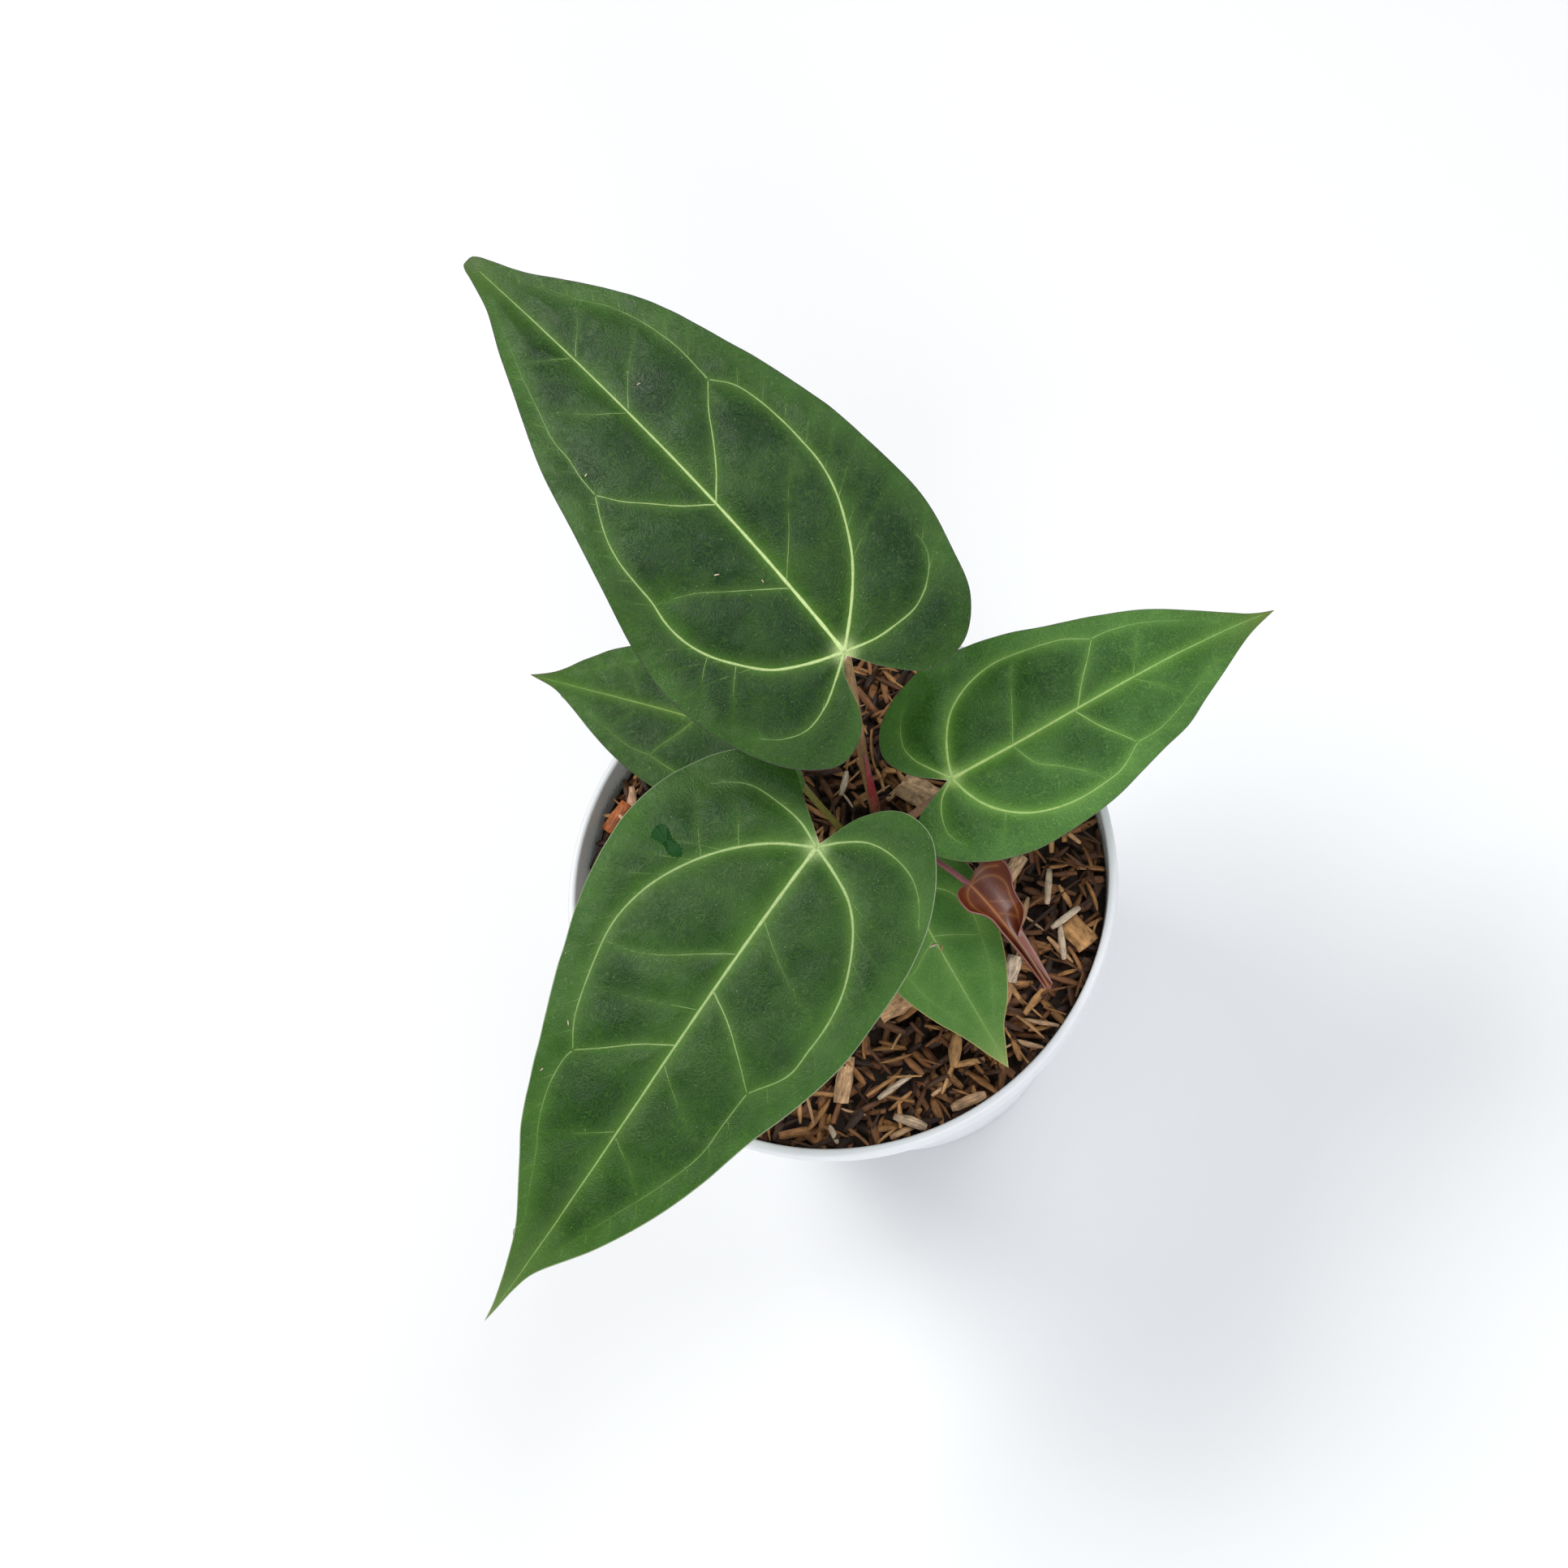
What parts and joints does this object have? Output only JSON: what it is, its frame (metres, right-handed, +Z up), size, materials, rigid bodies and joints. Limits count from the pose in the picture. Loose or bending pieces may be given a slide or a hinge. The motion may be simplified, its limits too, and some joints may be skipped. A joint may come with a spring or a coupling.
{
  "type": "potted anthurium papillilaminum",
  "caption": "Young velvet-leaved anthurium with heart-shaped leaves and a rolled new leaf, growing in bark and husk mix in a white nursery pot.",
  "frame": {"origin": "centre of the pot's underside, on the flat hub that the pot stands on", "axes": "+Z up; +X to the right and +Y away in the picture, turned with the image's edges; leaf 1 points to -X +Y"},
  "size_m": [0.2008, 0.2591, 0.2282],
  "materials": {
    "pot_plastic": "white moulded plastic, satin gloss",
    "bark_mix": "chopped bark and husk chips over dark soil",
    "petiole": "brownish green stalk, satin",
    "cataphyll": "pink papery sheath",
    "velvet_leaf": "dark green velvet with pale raised veins",
    "green_leaf": "green velvet with pale raised veins",
    "young_leaf": "light green, satin",
    "new_leaf": "red-brown, glossy"
  },
  "bodies": {
    "root": {"pot": "pot_plastic", "potting_mix": "bark_mix", "stem_crown": "petiole", "cataphyll": "cataphyll", "leaf_1_petiole": "petiole", "leaf_1_blade": "velvet_leaf", "leaf_2_petiole": "petiole", "leaf_2_blade": "velvet_leaf", "leaf_3_petiole": "petiole", "leaf_3_blade": "green_leaf", "leaf_4_petiole": "petiole", "leaf_4_blade": "green_leaf", "leaf_5_petiole": "petiole", "leaf_5_blade": "young_leaf", "leaf_new_petiole": "petiole", "leaf_new_blade": "new_leaf"}
  },
  "joints": []
}
